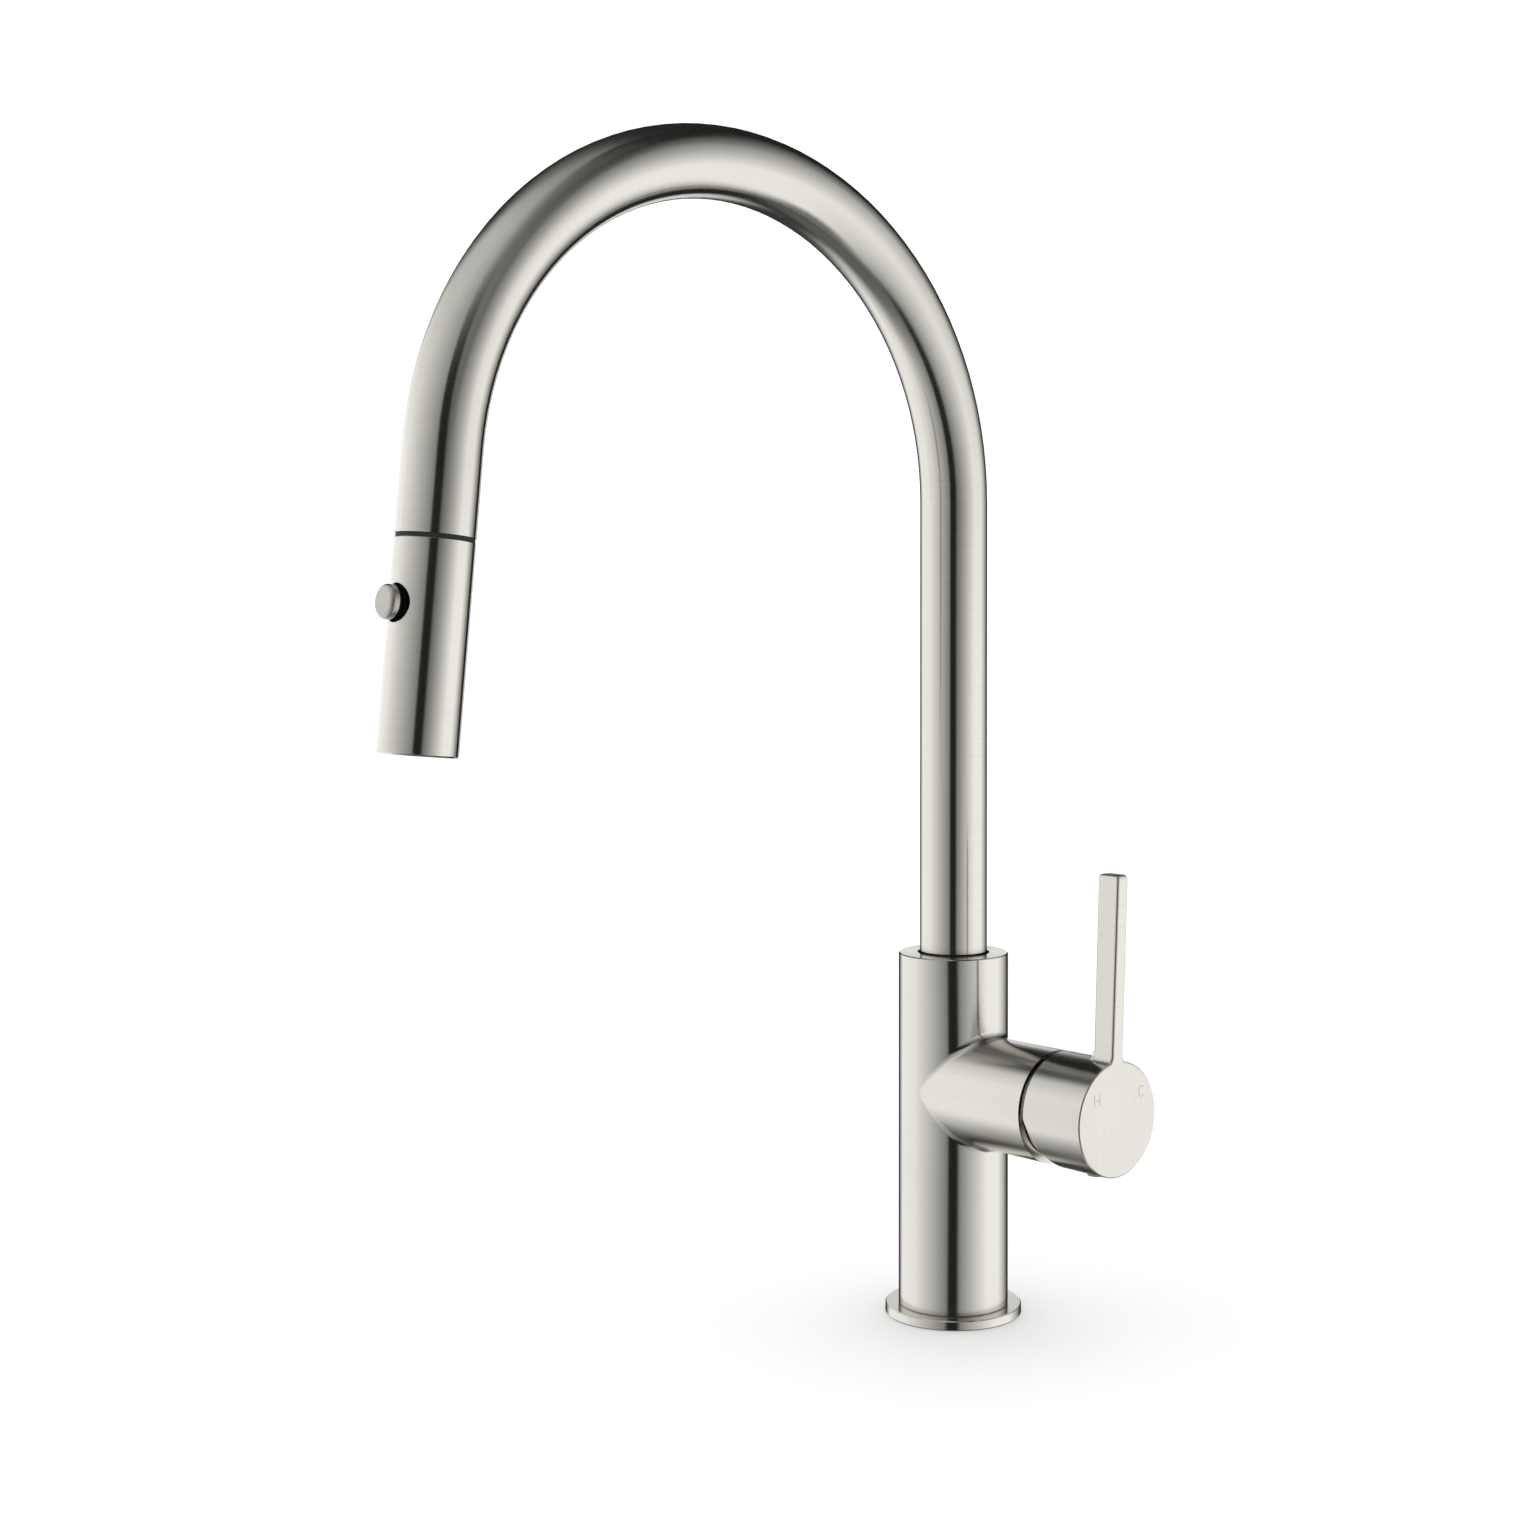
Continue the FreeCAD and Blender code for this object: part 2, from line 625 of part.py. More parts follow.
def head_core():
    at, rotation = outlet_frame()
    outer = 11.45
    blank = turned("head_core_blank", [
        (4.6, 32.6), (7.05, 32.6), (7.05, 36), (outer, 36), (outer, 84), (0, 84), (0, 43),
        (4.6, 43)], at, rotation, False)
    tools = [radial_cylinder("spool_bore", 3.05, -5.6, 12),
             radial_cylinder("spring_pocket", 5, 6.5, 12),
             radial_cylinder("button_recess", button_hole_r, 10.6, 13),
             cylinder("stream_way", 2.6, 49, 85, at, rotation),
             cylinder("supply_way", 2.2, 40, 50, at, rotation)]
    tools += [side_way(f"spray_way_{side + 1}", side) for side in (-1, 1)]
    tools.append(cylinder("cross_way", 1, -8.5, 8.5, radial_place()[0], TO_X))
    named(cut("head_core", blank, tools), "head_core")
    ring("check_valve", 2.6, 4.55, 33, 42.5, at, rotation)


def side_way(label, side):
    """A small water way beside the head's axis, from the spool bore to the spray face."""
    at, rotation = outlet_frame()
    item = cylinder(label, 1.3, 51, 85, at, rotation)
    bind(item, ".Placement.Base.x", size(8) * side)
    return item


def spray_face():
    at, rotation = outlet_frame()
    face_r = 11.4
    nozzle_ring = 8.7
    count = 12
    blank = turned("spray_face_blank", [
        (6.3, 84), (face_r, 84), (face_r, 86), (10.6, 86), (10.6, 87.6), (face_r, 87.6),
        (face_r, 96.3), (6.3, 96.3)], at, rotation, False)
    chamber = ring("spray_chamber", 7.2, 10, 83, 93.5, at, rotation, False)
    holes = []
    nozzles = []
    for number in range(count):
        angle = 2 * math.pi * number / count
        # The nozzle's place on the ring, in the outlet's own frame, carried into the model.
        offset = rotation.multVec(Vector(nozzle_ring * math.cos(angle),
                                         nozzle_ring * math.sin(angle), 0))
        centre = [size(at[k]) + round(offset[k], 6) for k in range(3)]
        holes.append(cylinder(f"nozzle_hole_{number}", 1.1, 93, 98, centre, rotation))
        nozzles.append(ring(f"nozzle_{number}", 0.45, 1.08, 93.5, 96.9, centre, rotation, False))
    named(cut("spray_face", blank, [chamber] + holes), "spray_face")
    group("spray_nozzles", nozzles)
    ring("aerator_housing", 4.9, 6.2, 86, 96.5, at, rotation)
    screen = cylinder("aerator_screen_blank", 4.85, 94.5, 95.7, at, rotation)
    slots = [screen_slot(number) for number in range(-2, 3)]
    named(cut("aerator_screen", screen, slots), "aerator_screen")
    ring("face_o_ring", 10.65, 11.48, 86.1, 87.5, at, rotation)


def screen_slot(number):
    """One slot through the aerator screen."""
    at, rotation = outlet_frame()
    item = document.addObject("Part::Box", f"screen_slot_{number + 2}")
    bind(item, "Length", 0.9)
    bind(item, "Width", 6)
    bind(item, "Height", 4)
    corner = rotation.multVec(Vector(number * 1.6 - 0.45, -3, 93))
    place(item, [size(at[k]) + round(corner[k], 6) for k in range(3)], rotation)
    return item


def button_group():
    """Spray button: knob on a stem that carries the diverter spool, with its spring."""
    at, rotation = radial_place()
    back = tube_r + button_proud
    face = back + button_thickness
    round_r = 1.5
    rim = [(button_r - round_r + round_r * math.sin(math.radians(angle)),
            face - round_r + round_r * math.cos(math.radians(angle)))
           for angle in range(90, -1, -15)]
    turned("spray_button", [
        (0, 4.6), (2.4, 4.6), (2.4, back), (button_r - 0.5, back), (button_r, back + 0.5)]
        + rim + [(0, face)], at, rotation)
    turned("diverter_spool", [
        (0, -2.5), (3, -2.5), (3, -1.6), (2.3, -1.6), (2.3, -0.6), (3, -0.6), (3, 2.1),
        (2.3, 2.1), (2.3, 3.1), (3, 3.1), (3, 4.6), (0, 4.6)], at, rotation)
    rings = [ring(f"spool_ring_{number}", 2.32, 3, low, low + 0.96, at, rotation, False)
             for number, low in enumerate((-1.58, 2.12))]
    group("spool_o_rings", rings)
    ring("button_bush", 2.45, 3.03, 4.8, 6.5, at, rotation)
    coil = document.addObject("Part::Helix", "spring_helix")
    bind(coil, "Radius", 3.7)
    bind(coil, "Height", 6)
    bind(coil, "Pitch", 1.5)
    wire = document.addObject("Part::Circle", "spring_wire")
    bind(wire, "Radius", 0.35)
    wire.Placement = Placement(Vector(3.7, 0, 0), Rotation(Vector(1, 0, 0), 90))
    spring = document.addObject("Part::Sweep", "button_spring_sweep")
    spring.Sections = [wire]
    spring.Spine = (coil, ["Edge1"])
    spring.Solid = True
    spring.Frenet = True
    outward = rotation.multVec(Vector(0, 0, 1)) * 7
    place(spring, [size(at[k]) + round(outward[k], 6) for k in range(3)], rotation)
    named(spring, "button_spring")


# ---- build, check and export ----

def check_and_export():
    document.recompute()
    problems = []
    for item in document.Objects:
        if "Invalid" in item.State or "Error" in item.State:
            problems.append(f"{item.Name}: {item.State}")
    for item in SUBPARTS:
        if item.Shape.isNull() or not item.Shape.isValid():
            problems.append(f"{item.Label}: shape is null or not valid")
    if problems:
        raise RuntimeError("; ".join(problems))
    os.makedirs("parts", exist_ok=True)
    for item in SUBPARTS:
        item.Shape.exportStep(f"parts/{item.Label}.step")
        print(f"{item.Label}: {item.Shape.Volume:.1f} mm3, {len(item.Shape.Solids)} solid(s)")
    print(len(SUBPARTS), "sub-parts")


base_flange()
body_shell()
base_block()
feed_tubes()
seat_ports = valve_seat()
cartridge(seat_ports)
carrier_and_stem()
nut_and_dome()
handle()
spout_tube()
spout_bearings()
dock()
hose_end()
head_shell()
head_core()
spray_face()
button_group()
check_and_export()
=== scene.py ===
import json
import math
import bmesh
import bpy
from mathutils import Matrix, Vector

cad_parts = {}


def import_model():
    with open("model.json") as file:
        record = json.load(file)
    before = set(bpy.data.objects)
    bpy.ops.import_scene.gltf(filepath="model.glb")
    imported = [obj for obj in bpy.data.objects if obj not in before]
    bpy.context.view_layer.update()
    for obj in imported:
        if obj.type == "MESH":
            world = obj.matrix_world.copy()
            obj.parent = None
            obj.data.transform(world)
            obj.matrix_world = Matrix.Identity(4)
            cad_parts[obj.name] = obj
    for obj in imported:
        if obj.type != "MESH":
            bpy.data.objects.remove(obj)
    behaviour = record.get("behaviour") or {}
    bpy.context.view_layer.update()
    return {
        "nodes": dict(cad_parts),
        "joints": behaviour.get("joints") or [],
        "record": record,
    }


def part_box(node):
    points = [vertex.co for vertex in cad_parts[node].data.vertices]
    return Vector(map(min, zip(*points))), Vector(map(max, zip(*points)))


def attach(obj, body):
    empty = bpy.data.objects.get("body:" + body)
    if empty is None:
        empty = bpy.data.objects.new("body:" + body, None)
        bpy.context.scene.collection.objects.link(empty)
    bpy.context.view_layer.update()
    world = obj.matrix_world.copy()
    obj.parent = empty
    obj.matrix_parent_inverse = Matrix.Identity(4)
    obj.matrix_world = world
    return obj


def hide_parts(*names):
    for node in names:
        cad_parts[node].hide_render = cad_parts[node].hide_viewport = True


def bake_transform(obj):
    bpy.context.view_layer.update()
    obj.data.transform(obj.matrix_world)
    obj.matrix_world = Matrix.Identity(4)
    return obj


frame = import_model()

# Pull-down kitchen faucet in brushed nickel: materials, marks, hose, spring, studio and camera.
# Metres, in the frame of the CAD model: +Z up, spout towards -Y, handle arm along +X.

NODES = frame["nodes"]
JOINTS = {joint["name"]: joint for joint in frame["joints"]}
MM = 0.001

# ---- places worked out from the frame ----

ARM_AXIS = Vector(JOINTS["handle_turn"]["pos_m"])
PIN_TO_CAP_FACE = 29 * MM
CAP_FACE_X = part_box("stem_pin")[0][0] + PIN_TO_CAP_FACE
OUTLET_DOWN = Vector(JOINTS["head_pull"]["axis"]).normalized()
TUBE_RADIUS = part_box("spout_tube")[1][0]
HEAD_AXIS_POINT = Vector(JOINTS["head_spin"]["pos_m"])
# The bend's centreline: its crown is one tube radius below the spout's highest point.
BEND_RADIUS = 113.7 * MM
BEND_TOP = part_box("spout_tube")[1][2] - TUBE_RADIUS
BEND_CENTRE = Vector((0, -BEND_RADIUS, BEND_TOP - BEND_RADIUS))


# ---- node helpers ----

class Graph:
    """A material's node tree with short calls for the nodes used here."""

    def __init__(self, name):
        self.material = bpy.data.materials.new(name)
        self.material.use_nodes = True
        self.tree = self.material.node_tree
        self.tree.nodes.clear()
        self.output = self.tree.nodes.new("ShaderNodeOutputMaterial")
        self.shader = self.tree.nodes.new("ShaderNodeBsdfPrincipled")
        self.tree.links.new(self.shader.outputs[0], self.output.inputs["Surface"])

    def put(self, socket, value):
        """Link a socket, or set a constant directly on it."""
        if isinstance(value, bpy.types.NodeSocket):
            self.tree.links.new(value, socket)
        else:
            socket.default_value = value

    def node(self, kind, inputs=None, **settings):
        node = self.tree.nodes.new(kind)
        for key, value in settings.items():
            setattr(node, key, value)
        for key, value in (inputs or {}).items():
            self.put(node.inputs[key], value)
        return node

    def math(self, operation, *values):
        node = self.node("ShaderNodeMath", operation=operation)
        for socket, value in zip(node.inputs, values):
            self.put(socket, value)
        return node.outputs[0]

    def vector_math(self, operation, *values):
        node = self.node("ShaderNodeVectorMath", operation=operation)
        for socket, value in zip(node.inputs, values):
            self.put(socket, value)
        return node.outputs[0]

    def coords(self):
        return self.node("ShaderNodeTexCoord").outputs["Object"]

    def split(self, vector):
        return self.node("ShaderNodeSeparateXYZ", {0: vector}).outputs

    def join(self, x, y, z):
        return self.node("ShaderNodeCombineXYZ", {0: x, 1: y, 2: z}).outputs[0]

    def stretch(self, value):
        """Draw the brushing's noise out into lines along this coordinate."""
        return self.math("MULTIPLY", value, LINE_STRETCH)

    def to_world(self, tangent):
        return self.node("ShaderNodeVectorTransform", {"Vector": tangent}, vector_type="VECTOR",
                         convert_from="OBJECT", convert_to="WORLD").outputs[0]

    def noise(self, vector, scale, detail=2.0, roughness=0.5):
        return self.node("ShaderNodeTexNoise", {
            "Vector": vector, "Scale": scale, "Detail": detail,
            "Roughness": roughness}).outputs["Fac"]

    def spread(self, value, low, high, source=(0.3, 0.7)):
        """Map a noise value onto a range."""
        return self.node("ShaderNodeMapRange", {
            "Value": value, "From Min": source[0], "From Max": source[1],
            "To Min": low, "To Max": high}).outputs[0]

    def tint(self, factor, dark, light):
        ramp = self.node("ShaderNodeMix", data_type="RGBA")
        self.put(ramp.inputs["Factor"], factor)
        ramp.inputs[6].default_value = (*dark, 1)
        ramp.inputs[7].default_value = (*light, 1)
        return ramp.outputs[2]

    def bump(self, height, strength, distance):
        return self.node("ShaderNodeBump", {
            "Height": height, "Strength": strength, "Distance": distance}).outputs[0]

    def set(self, **sockets):
        names = {"color": "Base Color", "metal": "Metallic", "rough": "Roughness",
                 "normal": "Normal", "aniso": "Anisotropic", "turn": "Anisotropic Rotation",
                 "tangent": "Tangent", "specular": "Specular IOR Level",
                 "sheen": "Sheen Weight"}
        for key, value in sockets.items():
            if key == "color" and isinstance(value, tuple):
                value = (*value, 1)
            self.put(self.shader.inputs[names[key]], value)
        return self.material


# ---- metals ----

NICKEL_DARK = (0.572, 0.561, 0.516)
# The spray button's nickel is darker than the head's, as painted shade on the knob.
NICKEL_LIGHT = (0.630, 0.619, 0.573)
KNOB_SHADED_DARK = (0.40, 0.39, 0.355)
KNOB_SHADED_LIGHT = (0.47, 0.46, 0.42)
LINE_SCALE = 2600.0
LINE_STRETCH = 0.02
BRUSH_DEPTH = 0.004 * MM
# The handle's brushing changes at the cap's face and at the lever's foot.
FACE_DEPTH = 0.15 * MM
LEVER_FOOT_HEIGHT = 20.7 * MM


def brush_around_z(g):
    """Line coordinate and tangent for brushing round an upright cylinder."""
    x, y, z = g.split(g.coords())
    tangent = g.join(g.math("MULTIPLY", y, -1.0), x, 0.0)
    return g.join(g.stretch(x), g.stretch(y), z), tangent


def brush_around_arm(g):
    """The same round the side arm's axis."""
    x, y, z = g.split(g.coords())
    height = g.math("SUBTRACT", z, ARM_AXIS.z)
    tangent = g.join(0.0, g.math("MULTIPLY", height, -1.0), y)
    return g.join(x, g.stretch(y), g.stretch(height)), tangent


def brush_around_spout(g):
    """Round the gooseneck: the line coordinate is the length along its bent axis."""
    x, y, z = g.split(g.coords())
    across = g.math("SUBTRACT", y, BEND_CENTRE.y)
    up = g.math("SUBTRACT", z, BEND_CENTRE.z)
    above = g.math("GREATER_THAN", up, 0.0)
    angle = g.math("ARCTAN2", g.math("MAXIMUM", up, 0.0), across)
    along_bend = g.math("MULTIPLY", angle, BEND_RADIUS)
    below = g.math("MINIMUM", up, 0.0)
    # Below the bend the riser counts down from its foot and the outlet run counts on.
    side = g.math("SIGN", across)
    straight = g.math("MULTIPLY", below, g.math("MULTIPLY", side, -1.0))
    along = g.math("SUBTRACT", along_bend, straight)
    distance = g.math("SQRT", g.math("ADD", g.math("POWER", across, 2.0),
                                     g.math("POWER", up, 2.0)))
    # The axis runs upward in the riser and follows the bend above it.
    forward_y = g.math("MULTIPLY", g.math("MULTIPLY", above, -1.0),
                       g.math("DIVIDE", up, distance))
    upright = g.math("SUBTRACT", 1.0, above)
    forward_z = g.math("ADD", upright, g.math("MULTIPLY", above,
                                              g.math("DIVIDE", across, distance)))
    axis = g.join(0.0, forward_y, forward_z)
    normal = g.node("ShaderNodeVectorTransform", {
        "Vector": g.node("ShaderNodeNewGeometry").outputs["Normal"]},
        vector_type="NORMAL", convert_from="WORLD", convert_to="OBJECT").outputs[0]
    tangent = g.vector_math("CROSS_PRODUCT", axis, normal)
    return g.join(along, g.stretch(x), 0.0), tangent


def brush_around_head(g):
    """Round the spray head's own tilted axis."""
    from_axis = g.vector_math("SUBTRACT", g.coords(), tuple(HEAD_AXIS_POINT))
    along = g.node("ShaderNodeVectorMath", {0: from_axis, 1: tuple(OUTLET_DOWN)},
                   operation="DOT_PRODUCT").outputs["Value"]
    x = g.split(from_axis)[0]
    tangent = g.vector_math("CROSS_PRODUCT", tuple(OUTLET_DOWN), from_axis)
    return g.join(along, g.stretch(x), 0.0), tangent


def brushed(name, brushing):
    """Brushed nickel: fine lines in tone, roughness and height, along the given direction."""
    g = Graph(name)
    lines, tangent = brushing(g)
    fine = g.noise(lines, LINE_SCALE, 3.0, 0.65)
    broad = g.noise(lines, LINE_SCALE * 0.3)
    cloud = g.noise(g.coords(), 22.0)
    grain = g.math("ADD", g.math("MULTIPLY", fine, 0.8), g.math("MULTIPLY", broad, 0.2))
    tone = g.math("ADD", g.math("MULTIPLY", grain, 0.75), g.math("MULTIPLY", cloud, 0.25))
    return g.set(
        color=g.tint(g.spread(tone, 0, 1), NICKEL_DARK, NICKEL_LIGHT),
        metal=1.0, rough=g.spread(grain, 0.145, 0.195), aniso=0.88, turn=0.25,
        tangent=g.to_world(tangent), normal=g.bump(fine, 0.25, BRUSH_DEPTH))


def handle_metal():
    """The handle has three brushings: round the cap, upright on its face, level on the lever."""
    g = Graph("nickel_handle")
    x, y, z = g.split(g.coords())
    round_lines, round_tangent = brush_around_arm(g)
    face_lines = g.join(x, y, g.stretch(z))
    lever_lines = g.join(g.stretch(x), g.stretch(y), z)
    on_face = g.math("GREATER_THAN", x, CAP_FACE_X - FACE_DEPTH)
    on_lever = g.math("GREATER_THAN", z, ARM_AXIS.z + LEVER_FOOT_HEIGHT)

    def choose(factor, a, b):
        node = g.node("ShaderNodeMix", data_type="VECTOR")
        g.put(node.inputs["Factor"], factor)
        g.put(node.inputs[4], a)
        g.put(node.inputs[5], b)
        return node.outputs[1]

    lines = choose(on_lever, choose(on_face, round_lines, face_lines), lever_lines)
    tangent = choose(on_lever, choose(on_face, round_tangent, (0.0, 0.0, 1.0)), (0.0, 1.0, 0.0))
    fine = g.noise(lines, LINE_SCALE, 3.0, 0.65)
    cloud = g.noise(g.coords(), 30.0)
    tone = g.math("ADD", g.math("MULTIPLY", fine, 0.75), g.math("MULTIPLY", cloud, 0.25))
    return g.set(
        color=g.tint(g.spread(tone, 0, 1), NICKEL_DARK, NICKEL_LIGHT),
        metal=1.0, rough=g.spread(fine, 0.2, 0.26), aniso=0.8, turn=0.25,
        tangent=g.to_world(tangent), normal=g.bump(fine, 0.25, BRUSH_DEPTH))


def polished_nickel():
    g = Graph("nickel_polished")
    wear = g.noise(g.coords(), 900.0, 3.0)
    return g.set(color=g.tint(g.spread(wear, 0, 1), (0.60, 0.57, 0.52), (0.68, 0.65, 0.60)),
                 metal=1.0, rough=g.spread(wear, 0.10, 0.18))


def machined(name, dark, light, rough=0.32):
    """Turned brass or steel on the inner pieces."""
    g = Graph(name)
    grain = g.noise(g.coords(), 1800.0, 4.0, 0.6)
    cloud = g.noise(g.coords(), 90.0)
    return g.set(color=g.tint(g.spread(cloud, 0, 1), dark, light), metal=1.0,
                 rough=g.spread(grain, rough - 0.06, rough + 0.08),
                 normal=g.bump(grain, 0.2, 0.02 * MM))


def moulded(name, dark, light, rough=0.42, texture=1500.0, specular=0.45):
    """Injection-moulded plastic or ceramic: faint tone change and a fine spark texture."""
    g = Graph(name)
    spark = g.noise(g.coords(), texture, 3.0, 0.6)
    cloud = g.noise(g.coords(), 60.0)
    return g.set(color=g.tint(g.spread(cloud, 0, 1), dark, light), metal=0.0,
                 rough=g.spread(spark, rough - 0.05, rough + 0.08), specular=specular,
                 normal=g.bump(spark, 0.3, 0.02 * MM))


def rubber(name, dark, light):
    g = Graph(name)
    dust = g.noise(g.coords(), 700.0, 5.0, 0.7)
    return g.set(color=g.tint(g.spread(dust, 0, 1), dark, light), metal=0.0,
                 rough=g.spread(dust, 0.55, 0.75), specular=0.35,
                 normal=g.bump(dust, 0.3, 0.03 * MM))


def braid_material():
    """Nylon braid where it is hidden inside the spout."""
    g = Graph("hose_braid")
    fibre = g.noise(g.coords(), 3500.0, 3.0, 0.7)
    cloud = g.noise(g.coords(), 240.0)
    return g.set(color=g.tint(g.spread(fibre, 0, 1), (0.16, 0.16, 0.165), (0.42, 0.42, 0.43)),
                 metal=0.0, rough=g.spread(cloud, 0.38, 0.55), sheen=0.25,
                 normal=g.bump(fibre, 0.5, 0.03 * MM))


YARNS_ROUND = 12
YARN_PITCH = 26 * MM


def weave_material():
    """Two sets of yarns crossing over and under, laid round and along the hose."""
    g = Graph("hose_weave")
    place = g.node("ShaderNodeAttribute", attribute_name="weave").outputs["Vector"]
    across, up, along = g.split(place)
    turn = g.math("MULTIPLY", g.math("ARCTAN2", up, across), float(YARNS_ROUND))
    climb = g.math("MULTIPLY", along, 2 * math.pi * YARNS_ROUND / YARN_PITCH)
    left = g.math("SINE", g.math("ADD", turn, climb))
    right = g.math("SINE", g.math("SUBTRACT", turn, climb))
    over = g.math("MAXIMUM", left, right)
    height = g.math("POWER", g.math("ABSOLUTE", over), 0.6)
    fibre = g.noise(g.coords(), 3800.0, 3.0, 0.7)
    tone = g.math("ADD", g.math("MULTIPLY", height, 0.75), g.math("MULTIPLY", fibre, 0.4))
    return g.set(color=g.tint(g.spread(tone, 0, 1, (0.3, 1.0)), (0.05, 0.05, 0.052),
                              (0.36, 0.36, 0.37)),
                 metal=0.0, rough=g.spread(fibre, 0.36, 0.52), sheen=0.2,
                 normal=g.bump(height, 0.8, 0.35 * MM))


def mark_ink():
    """The faint beige of a laser-etched mark."""
    g = Graph("etched_mark")
    speck = g.noise(g.coords(), 2500.0, 3.0)
    return g.set(color=g.tint(g.spread(speck, 0, 1), (0.50, 0.42, 0.29), (0.62, 0.54, 0.40)),
                 metal=0.35, rough=0.62)


COLUMN_METAL = brushed("nickel_column", brush_around_z)
ARM_METAL = brushed("nickel_arm", brush_around_arm)
SPOUT_METAL = brushed("nickel_spout", brush_around_spout)
HEAD_METAL = brushed("nickel_head", brush_around_head)
HANDLE_METAL = handle_metal()
POLISHED = polished_nickel()
# The spray button's satin nickel carries painted shade: it is darker than the head's nickel.
SATIN_PAINTED_SHADE = machined("satin_nickel_painted_shade", KNOB_SHADED_DARK, KNOB_SHADED_LIGHT, 0.34)
BRASS = machined("plain_brass", (0.50, 0.35, 0.14), (0.66, 0.48, 0.22))
STEEL = machined("plain_steel", (0.42, 0.42, 0.43), (0.56, 0.56, 0.57), 0.28)
BLACK_PLASTIC = moulded("black_plastic", (0.010, 0.010, 0.011), (0.018, 0.018, 0.019))
# Near-black with almost no gloss: painted shade on the head core, button spring and button bush in
# the button's recess, and a black part on the swivel bush and the riser's foot ring.
BLACK_AND_PAINTED_SHADE = moulded("matte_black_and_painted_shade", (0.006, 0.006, 0.006), (0.010, 0.010, 0.010), 0.8,
                      specular=0.06)
WHITE_PLASTIC = moulded("white_plastic", (0.70, 0.70, 0.68), (0.78, 0.78, 0.75))
GREY_PLASTIC = moulded("grey_plastic", (0.13, 0.135, 0.14), (0.18, 0.185, 0.19))
CERAMIC = moulded("ceramic", (0.78, 0.76, 0.71), (0.84, 0.82, 0.78), 0.18, 900.0)
BLACK_RUBBER = rubber("black_rubber", (0.008, 0.008, 0.008), (0.022, 0.022, 0.022))
GREY_RUBBER = rubber("grey_rubber", (0.14, 0.145, 0.15), (0.22, 0.225, 0.23))
BRAID = braid_material()
WEAVE = weave_material()
MARK = mark_ink()

# The head core, button spring and button bush take the near-black as painted shade in the button's
# recess.
BY_NODE = {
    "dome_cover": ARM_METAL, "handle": HANDLE_METAL, "spout_tube": SPOUT_METAL,
    "head_sleeve": HEAD_METAL, "spray_button": SATIN_PAINTED_SHADE, "swivel_bush": BLACK_AND_PAINTED_SHADE,
    "head_core": BLACK_AND_PAINTED_SHADE, "button_spring": BLACK_AND_PAINTED_SHADE, "button_bush": BLACK_AND_PAINTED_SHADE,
}
BY_SLOT = {
    "brushed_nickel": COLUMN_METAL, "polished_nickel": POLISHED, "plain_brass": BRASS,
    "steel": STEEL, "black_plastic": BLACK_PLASTIC, "white_plastic": WHITE_PLASTIC,
    "grey_plastic": GREY_PLASTIC, "black_rubber": BLACK_RUBBER, "grey_rubber": GREY_RUBBER,
    "ceramic": CERAMIC, "braid": BRAID,
}


def dress_nodes():
    """Give every CAD node its finish."""
    slots = {part["node"]: part["material_slot"] for part in frame["record"]["subparts"]}
    for name, node in NODES.items():
        material = BY_NODE.get(name, BY_SLOT[slots[name]])
        if not node.material_slots:
            node.data.materials.append(material)
        for holder in node.material_slots:
            holder.link = "OBJECT"
            holder.material = material


dress_nodes()


# ---- pieces of their own ----

def new_piece(name, work, material, body):
    """Turn a bmesh into an object that rides on a body."""
    bmesh.ops.recalc_face_normals(work, faces=work.faces)
    mesh = bpy.data.meshes.new(name)
    work.to_mesh(mesh)
    work.free()
    mesh.materials.append(material)
    piece = bpy.data.objects.new(name, mesh)
    bpy.context.scene.collection.objects.link(piece)
    if body:
        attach(piece, body)
    return piece


def join_loops(work, low, high, smooth=False):
    """A band of faces between two closed loops of vertices."""
    for side in range(len(low)):
        after = (side + 1) % len(low)
        work.faces.new((low[side], low[after], high[after], high[side])).smooth = smooth


# The marks in millimetres: a size is half width and half height, a place is across and up.
MARK_STROKE = 0.36
MARK_SKIN = 0.02
HOT_SIZE, HOT_PLACE = (1.6, 2.15), (-11.0, 94.8)
COLD_SIZE, COLD_PLACE = (1.62, 2.1), (12.8, 94.9)
# The C is open by this many degrees above and below its middle.
COLD_GAP = 38
COLD_STEPS = 24


def mark(name, outline, place):
    """A flat letter let into the cap's face, as thick as a skin."""
    work = bmesh.new()
    across, up = place
    rows = [[work.verts.new((CAP_FACE_X + side * MARK_SKIN * MM, (across + y) * MM, (up + z) * MM))
             for y, z in outline] for side in (-1, 1)]
    join_loops(work, *rows)
    for row in rows:
        work.faces.new(row)
    work.normal_update()
    bmesh.ops.triangulate(work, faces=[face for face in work.faces if len(face.verts) > 4])
    new_piece(name, work, MARK, "handle")


def marks():
    """Hot and cold letters on the face of the handle's cap."""
    half, tall = HOT_SIZE
    inner, bar = half - MARK_STROKE, MARK_STROKE / 2
    hot = [(-half, -tall), (-inner, -tall), (-inner, -bar), (inner, -bar), (inner, -tall),
           (half, -tall), (half, tall), (inner, tall), (inner, bar), (-inner, bar),
           (-inner, tall), (-half, tall)]
    mark("mark_hot", hot, HOT_PLACE)
    sweep = 360 - 2 * COLD_GAP
    turns = [math.radians(COLD_GAP + index * sweep / COLD_STEPS)
             for index in range(COLD_STEPS + 1)]
    wide, tall = COLD_SIZE
    outer, inner = ([((wide - cut) * math.cos(turn), (tall - cut) * math.sin(turn))
                     for turn in turns] for cut in (0, MARK_STROKE))
    mark("mark_cold", outer + inner[::-1], COLD_PLACE)


ACROSS = Vector((1, 0, 0))
HOSE_OUT = OUTLET_DOWN.cross(ACROSS).normalized()
HOSE_START = BEND_CENTRE + BEND_RADIUS * HOSE_OUT
HOSE_RADIUS = 6 * MM
HOSE_REST = 8 * MM
HOSE_PULL = JOINTS["head_pull"]["range_m"][1]
HOSE_RINGS = 220
HOSE_SIDES = 48


